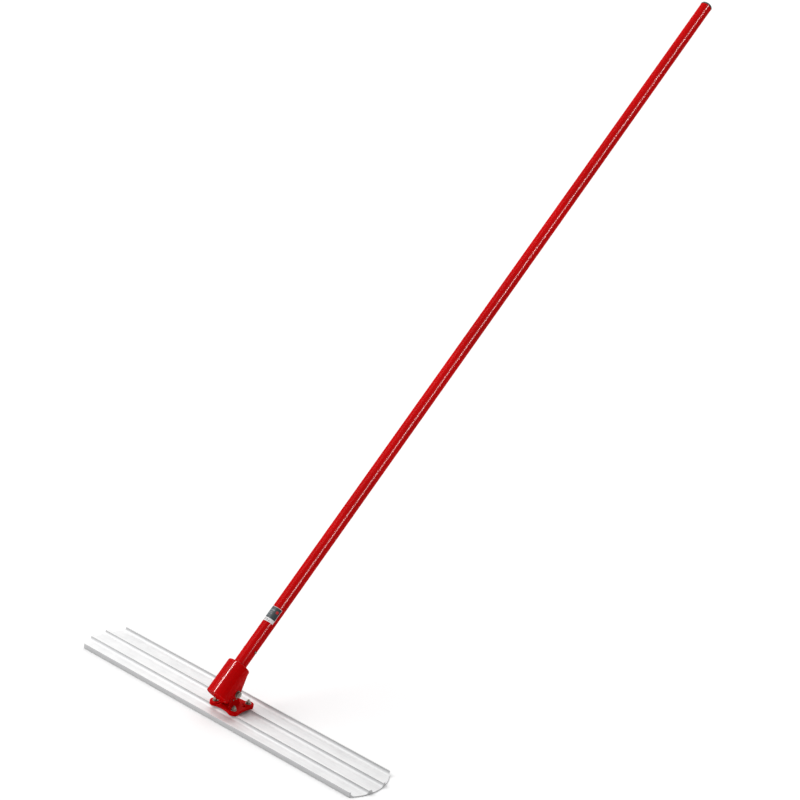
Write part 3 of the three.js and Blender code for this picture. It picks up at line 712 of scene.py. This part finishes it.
# ---- The gear between the ears -------------------------------------------------------------------------
# A hardened steel gear sector, held to the ears by two dowels, with a spacer on each side. The pivot runs
# in bronze bushes. All of it is machined, lightly oiled, and mostly hidden between ears and cheeks.
steel_worked = (0.30, 0.31, 0.33, 1)
steel_oiled = (0.16, 0.155, 0.15, 1)
bronze_fresh = (0.62, 0.38, 0.15, 1)
bronze_worn = (0.34, 0.20, 0.09, 1)

tool_steel = Finish("oiled_tool_steel")
tool_marks = tool_steel.noise(1, 3, stretch=(1800, 160, 160))
oil = tool_steel.steps(tool_steel.noise(70, 4), 0.42, 0.6)
tool_steel.set(
    Base_Color=tool_steel.blend(oil, steel_worked, steel_oiled),
    Roughness=0.42 - oil * 0.16 + tool_marks * 0.1,
    Metallic=1.0,
)
tool_steel.bump(tool_marks, 0.2, 0.0001)

bronze = Finish("bronze")
bronze_marks = bronze.noise(1, 3, stretch=(1500, 240, 240))
bronze_stain = bronze.steps(bronze.noise(120, 4), 0.4, 0.65)
bronze.set(
    Base_Color=bronze.blend(bronze_stain, bronze_fresh, bronze_worn),
    Roughness=0.3 + bronze_stain * 0.2,
    Metallic=1.0,
)
bronze.bump(bronze_marks, 0.15, 0.0001)


def dress(finish, *names):
    for name in names:
        node = nodes[name]
        node.data.materials.clear()
        node.data.materials.append(finish.material)


dress(tool_steel, "gear_sector")
dress(zinc_steel, "gear_dowel_1", "gear_dowel_2", "gear_spacer_left", "gear_spacer_right")
dress(bronze, "pivot_bush_left", "pivot_bush_right", "pivot_thrust_washer_left", "pivot_thrust_washer_right")

# ---- The pivot ----------------------------------------------------------------------------------------
# A large zinc-plated bolt through cheeks, ears and gear. It has a hexagon head on the left, and a lock
# nut on the right with its thread showing, and a washer under each.
pivot_flats = 0.019
pivot_radius = 0.006
at_pivot = Matrix.Translation(pivot) @ across
for side in ("left", "right"):
    low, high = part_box(f"pivot_washer_{side}")
    flat = put(washer(pivot_radius + washer_slack, (high.z - low.z) / 2, low.x, high.x), at_pivot)
    settle(flat, f"pivot_flat_washer_{side}", "tilt_head", zinc_steel, [f"pivot_washer_{side}"])
low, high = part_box("pivot_lock_nut")
lock_nut = hexagon(pivot_flats, low.x, high.x, pivot_radius + nut_slack)
settle(put(lock_nut, at_pivot), "pivot_nut", "tilt_head", zinc_steel, ["pivot_lock_nut"])
bolt_low, bolt_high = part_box("pivot_bolt")
head_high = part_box("pivot_washer_left")[0].x
shank = [(pivot_radius, bolt_low.x + 0.001), (pivot_radius, low.x)]
pivot_bolt = turned(shank + thread(pivot_radius, low.x + 0.0005, bolt_high.x), 64)
cut(pivot_bolt, hexagon(pivot_flats, bolt_low.x, head_high, 0), "UNION")
settle(put(pivot_bolt, at_pivot), "pivot_hexagon_bolt", "tilt_head", zinc_steel, ["pivot_bolt"])

# ---- The worm housing ---------------------------------------------------------------------------------
# A red casting in one: the barrel round the worm, with a rounded shoulder, and two flat cheeks that
# reach down to the pivot. A window between the cheeks lets the gear in.
barrel_radius = 0.04
barrel_bore = 0.034
barrel_low = -0.047
barrel_high = 0.076
shoulder_round = 0.005
foot_break = 0.0008
bore_break = 0.0006
top_bore = 0.0183
top_boss = 0.024
boss_low = 0.053
top_wall_low = 0.067
cover_seat = 0.0365
cover_high = -0.0412
cheek_inner = 0.0241
cheek_outer = 0.0301
cheek_boss = 0.015
cheek_root = 0.018
cheek_top = 0.026
pivot_reach = 0.044
cheek_low_inset = 0.012
cheek_high_inset = 0.005
cheek_break = 0.0012
spot_face = 0.0135
spot_face_depth = 0.0301
window_low = -0.034
window_front = 0.021
window_depth = 0.040
lug_radius = 0.005
lug_length = 0.0123
screw_hole = 0.0023
screw_hole_length = 0.0103
lean = math.atan2(handle_line.y, handle_line.z)
on_handle = Matrix.Translation(handle_root) @ Matrix.Rotation(-lean, 4, "X")

shoulder = []
for step in range(7):
    angle = math.radians(90 * step / 6)
    shoulder.append((
        barrel_radius - shoulder_round + shoulder_round * math.cos(angle),
        barrel_high - shoulder_round + shoulder_round * math.sin(angle),
    ))
foot = [
    (cover_seat, barrel_low), (barrel_radius - foot_break, barrel_low),
    (barrel_radius, barrel_low + foot_break),
]
inside = [
    (top_bore + bore_break, barrel_high), (top_bore, barrel_high - bore_break),
    (top_bore, boss_low), (top_boss, boss_low), (top_boss, top_wall_low),
    (barrel_bore, top_wall_low), (barrel_bore, cover_high), (cover_seat, cover_high),
    (cover_seat, barrel_low),
]
housing = turned(foot + shoulder + inside, 160)
for near in (cheek_inner, -cheek_outer):
    cheek = [
        Vector((near, cheek_root, barrel_high - cheek_high_inset)),
        Vector((near, cheek_root, barrel_low + cheek_low_inset)),
    ]
    cheek += arc(Vector((near, pivot_reach, 0)), cheek_boss, -90, 20, 24)
    cheek += [Vector((near, cheek_top, barrel_high - cheek_high_inset))]
    plate = drawn(cheek, Vector((cheek_outer - cheek_inner, 0, 0)))
    break_edges(plate, cheek_break, 3)
    cut(housing, plate, "UNION")
window_back_edge = window_front + window_depth
cut(housing, box((-cheek_inner, window_front, window_low), (cheek_inner, window_back_edge, -window_low)))
pivot_hole = rod(pivot_radius + washer_slack, -0.04, 0.04)
cut(housing, put(pivot_hole, Matrix.Translation((0, pivot_reach, 0)) @ across))
for side in (-1, 1):
    face = Matrix.Translation((side * (spot_face_depth + 0.025), pivot_reach, 0)) @ across
    cut(housing, put(rod(spot_face, -0.025, 0.025), face))
for number in (1, 2, 3):
    low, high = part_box(f"cover_screw_{number}")
    spot = on_handle.inverted() @ ((low + high) / 2)
    under = Matrix.Translation((spot.x, spot.y, 0))
    cut(housing, put(rod(lug_radius, cover_high, cover_high + lug_length), under), "UNION")
    cut(housing, put(rod(screw_hole, barrel_low - 0.001, cover_high + screw_hole_length), under))
put(housing, on_handle)
settle(housing, "worm_housing_casting", "tilt_head", red_coat, ["worm_housing"], 32)

# ---- The bottom cover ---------------------------------------------------------------------------------
# A round red casting let into the barrel's foot. It carries the lower bush, and three socket screws in
# counterbores hold it to the lugs inside. A shallow ring is sunk in its face.
cover_radius = 0.0362
cover_top = -0.0415
cover_pocket = 0.0123
cover_boss = 0.0163
cover_boss_high = -0.0282
pocket_floor = -0.0442
cover_break = 0.0006
ring_inner = 0.012
ring_outer = 0.024
ring_slope = 0.0005
ring_sink = 0.0005
screw_slack = 0.0003
screw_radius = 0.002
screw_head = 0.0036
screw_low = -0.0467
screw_head_high = -0.0447
screw_tip = -0.0322
key_flats = 0.003
key_depth = 0.0012

cover = turned([
    (ring_inner, barrel_low), (ring_inner + ring_slope, barrel_low + ring_sink),
    (ring_outer - ring_slope, barrel_low + ring_sink), (ring_outer, barrel_low),
    (cover_radius - cover_break, barrel_low), (cover_radius, barrel_low + cover_break),
    (cover_radius, cover_top), (cover_boss, cover_top), (cover_boss, cover_boss_high),
    (cover_pocket, cover_boss_high), (cover_pocket, pocket_floor),
], 128)
screw_spots = []
for number in (1, 2, 3):
    low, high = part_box(f"cover_screw_{number}")
    spot = on_handle.inverted() @ ((low + high) / 2)
    screw_spots.append(Matrix.Translation((spot.x, spot.y, 0)))
for spot in screw_spots:
    cut(cover, put(rod(screw_radius + screw_slack, barrel_low - 0.001, cover_top + 0.001), spot))
    seat = rod(screw_head + screw_slack, barrel_low - 0.001, screw_head_high + screw_slack)
    cut(cover, put(seat, spot))
put(cover, on_handle)
settle(cover, "bottom_cover_casting", "tilt_head", red_coat, ["bottom_cover"], 32)
for number, spot in enumerate(screw_spots, 1):
    screw = turned([
        (screw_head - 0.0004, screw_low), (screw_head, screw_low + 0.0004), (screw_head, screw_head_high),
        (screw_radius, screw_head_high), (screw_radius, screw_tip + 0.0005),
        (screw_radius - 0.0005, screw_tip),
    ], 32)
    key_corner = key_flats / math.sqrt(3)
    bpy.ops.mesh.primitive_cylinder_add(
        vertices=6, radius=key_corner, depth=2 * key_depth, location=(0, 0, screw_low)
    )
    cut(screw, bpy.context.object)
    put(screw, on_handle @ spot)
    replaced = [f"cover_screw_{number}"]
    settle(screw, f"cover_socket_screw_{number}", "tilt_head", zinc_steel, replaced)

# ---- Bushes, seal, spindle and worm --------------------------------------------------------------------
# Everything that turns inside the barrel: a steel spindle in two bronze bushes with a rubber lip seal on
# top, and the pinned worm. Only the spindle's shoulder shows, and it is coated red with the tube.
shoulder_low = 0.0761
shoulder_high = 0.0799
rubber_black = (0.018, 0.018, 0.019, 1)
rubber_grey = (0.05, 0.05, 0.052, 1)

rubber = Finish("black_rubber")
bloom = rubber.noise(160, 4)
rubber.set(Base_Color=rubber.blend(bloom, rubber_black, rubber_grey), Roughness=0.62 + bloom * 0.2)
rubber.bump(rubber.noise(1400, 2), 0.2, 0.0001)
dress(rubber, "top_seal")
dress(bronze, "lower_bush", "upper_bush", "worm_thrust_washer", "spindle_thrust_washer")
dress(tool_steel, "worm")
dress(zinc_steel, "worm_pin")

spindle_steel = Finish("spindle_steel")
along_handle = spindle_steel.place((1, 1, 1), (-lean, 0, 0), handle_root)
height = spindle_steel.node("ShaderNodeSeparateXYZ", {}, {0: along_handle}, "Z")
coated = (height > shoulder_low) * (height < shoulder_high)
turning = spindle_steel.noise(1, 3, stretch=(160, 160, 2400), turn=(-lean, 0, 0))
steel_colour = spindle_steel.blend(turning, steel_worked, zinc_dull)
spindle_steel.set(
    Base_Color=spindle_steel.blend(coated, steel_colour, red_deep),
    Roughness=0.3 + turning * 0.12,
    Metallic=1 - coated,
)
spindle_steel.bump(turning, 0.12, 0.0001)
dress(spindle_steel, "spindle")

# ---- The snap lock ------------------------------------------------------------------------------------
# Two steel buttons stand out through the tube and spigot, and a bent strip of blued spring steel inside
# pushes them out. Pressing both frees the tube. Their tips are rounded and rubbed bright.
button_radius = 0.004
button_flange = 0.006
button_flange_thickness = 0.0014
button_round = 0.0015
spring_blue = (0.16, 0.18, 0.23, 1)
spring_straw = (0.33, 0.27, 0.19, 1)

spring_steel = Finish("blued_spring_steel")
temper = spring_steel.steps(spring_steel.noise(55, 3), 0.35, 0.65)
spring_steel.set(
    Base_Color=spring_steel.blend(temper, spring_blue, spring_straw),
    Roughness=0.28 + temper * 0.12,
    Metallic=1.0,
)
spring_steel.bump(spring_steel.noise(1, 2, stretch=(300, 300, 2200), turn=(-lean, 0, 0)), 0.15, 0.0001)
dress(spring_steel, "spring_leg_left", "spring_leg_right", "spring_bow")

right_low, right_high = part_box("lock_button_right")
button_middle = on_handle.inverted() @ ((right_low + right_high) / 2)
button_height = button_middle.z
tip = right_high.x
for side, way in (("left", -1), ("right", 1)):
    section = [
        (button_flange, right_low.x), (button_flange, right_low.x + button_flange_thickness),
        (button_radius, right_low.x + button_flange_thickness),
    ]
    for step in range(7):
        angle = math.radians(90 * step / 6)
        section.append((
            button_radius - button_round + button_round * math.cos(angle),
            tip - button_round + button_round * math.sin(angle),
        ))
    facing = Matrix.Rotation(way * math.pi / 2, 4, "Y")
    button = put(turned(section, 40), on_handle @ Matrix.Translation((0, 0, button_height)) @ facing)
    settle(button, f"snap_button_{side}", f"{side}_button", zinc_steel, [f"lock_button_{side}"])

# ---- The handle tube ----------------------------------------------------------------------------------
# Ten feet of straight drawn aluminium tube, powder coated red like the castings and bored through near
# its lower end for the two buttons. Its ends are deburred.
tube_radius = 0.022225
tube_bore = 0.020425
tube_low = 0.080
tube_high = 3.128
tube_break = 0.0004
button_hole = 0.0043

tube_coat = Finish("red_tube_coat")
tube_haze = tube_coat.noise(5, 3)
tube_peel = tube_coat.noise(620, 2)
tube_rub = tube_coat.steps(tube_coat.noise(1, 4, stretch=(700, 700, 16), turn=(-lean, 0, 0)), 0.70, 0.76)
tube_coat.set(
    Base_Color=tube_coat.blend(tube_coat.steps(tube_haze, 0.35, 0.65), red_deep, red_bright),
    Roughness=0.26 + tube_haze * 0.08 + tube_rub * 0.12,
    Specular_IOR_Level=0.0,
    Coat_Weight=0.08 - tube_rub * 0.04,
    Coat_Roughness=0.2,
)
tube_coat.bump(tube_peel, 0.03, 0.0002)

tube = turned([
    (tube_bore + tube_break, tube_low), (tube_radius - tube_break, tube_low),
    (tube_radius, tube_low + tube_break), (tube_radius, tube_high - tube_break),
    (tube_radius - tube_break, tube_high), (tube_bore + tube_break, tube_high),
    (tube_bore, tube_high - tube_break), (tube_bore, tube_low + tube_break),
    (tube_bore + tube_break, tube_low),
], 128)
cut(tube, put(rod(button_hole, -through, through), Matrix.Translation((0, 0, button_height)) @ across))
settle(put(tube, on_handle), "handle_tube_coated", "handle", tube_coat, ["handle_tube"], 30)

# ---- The end cap --------------------------------------------------------------------------------------
# A black moulded plug pressed into the tube's top end. It has a rounded rim as wide as the tube, ribs on
# the part inside the bore, and a low domed top with a small gate mark in its middle.
cap_radius = 0.022925
cap_plug = 0.020125
cap_low = tube_high - 0.026
rib_start = 0.006
rib_spacing = 0.004
rib_depth = 0.0006
cap_rim = tube_high + 0.0003
cap_shoulder = cap_rim + 0.007
cap_round = 0.0027
cap_dome = 0.003
gate_radius = 0.0018
gate_depth = 0.0005
plastic_black = (0.030, 0.031, 0.029, 1)
plastic_grey = (0.060, 0.062, 0.058, 1)

black_plastic = Finish("black_moulded_plastic")
grain = black_plastic.noise(1300, 3)
scuff = black_plastic.steps(black_plastic.noise(60, 4), 0.45, 0.65)
black_plastic.set(
    Base_Color=black_plastic.blend(scuff * 0.7 + grain * 0.3, plastic_black, plastic_grey),
    Roughness=0.4 + scuff * 0.18,
)
black_plastic.bump(grain, 0.3, 0.0001)

cap_section = [(cap_plug - 0.001, cap_low), (cap_plug, cap_low + 0.003)]
for rib in range(4):
    start = cap_low + rib_start + rib * rib_spacing
    cap_section += [
        (cap_plug, start), (cap_plug - rib_depth, start + rib_depth),
        (cap_plug - rib_depth, start + 0.002), (cap_plug, start + 0.002 + rib_depth),
    ]
cap_section += [(cap_plug, cap_rim), (cap_radius - 0.0003, cap_rim), (cap_radius, cap_rim + 0.0003)]
for step in range(6):
    angle = math.radians(75 * step / 5)
    cap_section.append((
        cap_radius - cap_round + cap_round * math.cos(angle),
        cap_shoulder - cap_round + cap_round * math.sin(angle),
    ))
for step in range(1, 10):
    share = step / 10
    radius = (cap_radius - 0.0011) * (1 - share)
    cap_section.append((radius, cap_shoulder + cap_dome * (1 - (1 - share) ** 2)))
cap_section += [
    (gate_radius, cap_shoulder + cap_dome), (gate_radius - 0.0004, cap_shoulder + cap_dome - gate_depth)
]
cap = turned(cap_section, 96)
settle(put(cap, on_handle), "handle_cap", "handle", black_plastic, ["handle_end_cap"], 40)

# ---- The label ----------------------------------------------------------------------------------------
# A printed vinyl wrap part of the way round the tube: a dark slate field in a thin pale border, with a
# pale strip along its lower edge and plain bars in place of any wording.
label_low = 0.240
label_high = 0.296
label_inner = 0.022525
label_outer = 0.022775
label_from = -152
label_to = -25
border_width = 0.0009
strip_width = 0.013
slate = (0.028, 0.040, 0.045, 1)
pale = (0.74, 0.72, 0.72, 1)
bar_grey = (0.16, 0.18, 0.19, 1)
badge_red = (0.45, 0.01, 0.012, 1)

vinyl = Finish("printed_label_vinyl")
on_tube = vinyl.place((1, 1, 1), (-lean, 0, 0), handle_root)
side_x_place = vinyl.node("ShaderNodeSeparateXYZ", {}, {0: on_tube}, "X")
side_y_place = vinyl.node("ShaderNodeSeparateXYZ", {}, {0: on_tube}, "Y")
up_tube = vinyl.node("ShaderNodeSeparateXYZ", {}, {0: on_tube}, "Z") - label_low
bearing = side_y_place.maths("ARCTAN2", side_y_place, side_x_place)
around = bearing * label_outer - math.radians(label_from) * label_outer
label_length = label_high - label_low
label_round = math.radians(label_to - label_from) * label_outer


def patch(left, right, bottom, top):
    return (around > left) * (around < right) * (up_tube > bottom) * (up_tube < top)


border = 1 - patch(border_width, label_round - border_width, border_width, label_length - border_width)
strip = up_tube < strip_width
bars = patch(0.006, 0.030, 0.040, 0.0445) + patch(0.006, 0.024, 0.0335, 0.0362)
bars = bars + patch(0.006, 0.027, 0.0275, 0.0302) + patch(0.006, 0.020, 0.0215, 0.0242)
small_bars = patch(0.006, 0.034, 0.0035, 0.0052) + patch(0.006, 0.028, 0.0075, 0.0092)
badge = patch(0.036, 0.045, 0.036, 0.045)
print_colour = vinyl.blend(bars, slate, bar_grey)
print_colour = vinyl.blend(badge, print_colour, badge_red)
print_colour = vinyl.blend(strip, print_colour, pale)
print_colour = vinyl.blend(small_bars, print_colour, slate)
print_colour = vinyl.blend(border, print_colour, pale)
vinyl_wear = vinyl.noise(260, 4)
vinyl.set(Base_Color=print_colour, Roughness=0.32 + vinyl_wear * 0.16)
vinyl.bump(vinyl_wear, 0.08, 0.0001)

deselect()
bpy.ops.mesh.primitive_plane_add(size=1)
label = bpy.context.object
edit(label)
bpy.ops.transform.resize(value=(label_outer - label_inner, label_high - label_low, 1))
bpy.ops.transform.rotate(value=math.pi / 2, orient_axis="X", center_override=(0, 0, 0))
bpy.ops.transform.translate(value=((label_outer + label_inner) / 2, 0, (label_high + label_low) / 2))
bpy.ops.mesh.spin(steps=64, angle=math.radians(label_to - label_from), center=(0, 0, 0), axis=(0, 0, 1))
bpy.ops.mesh.select_all(action="SELECT")
bpy.ops.mesh.remove_doubles(threshold=0.000001)
bpy.ops.mesh.fill_holes(sides=0)
bpy.ops.mesh.select_all(action="SELECT")
bpy.ops.mesh.normals_make_consistent(inside=False)
done()
spun_to = math.atan2(sum(v.co.y for v in label.data.vertices), sum(v.co.x for v in label.data.vertices))
middle_wanted = math.radians((label_from + label_to) / 2)
put(label, on_handle @ Matrix.Rotation(middle_wanted - spun_to, 4, "Z"))
settle(label, "handle_label_print", "handle", vinyl, ["handle_label"], 30)

# ---- What the strip lamps light ------------------------------------------------------------------------
# The long lamp lights the tube and the short one the red castings, so the blade keeps its even grey.
for piece in bpy.context.scene.objects:
    if piece.type == "MESH" and red_coat.material in list(piece.data.materials):
        lit_castings.objects.link(piece)
    if piece.type == "MESH" and tube_coat.material in list(piece.data.materials):
        lit_tube.objects.link(piece)
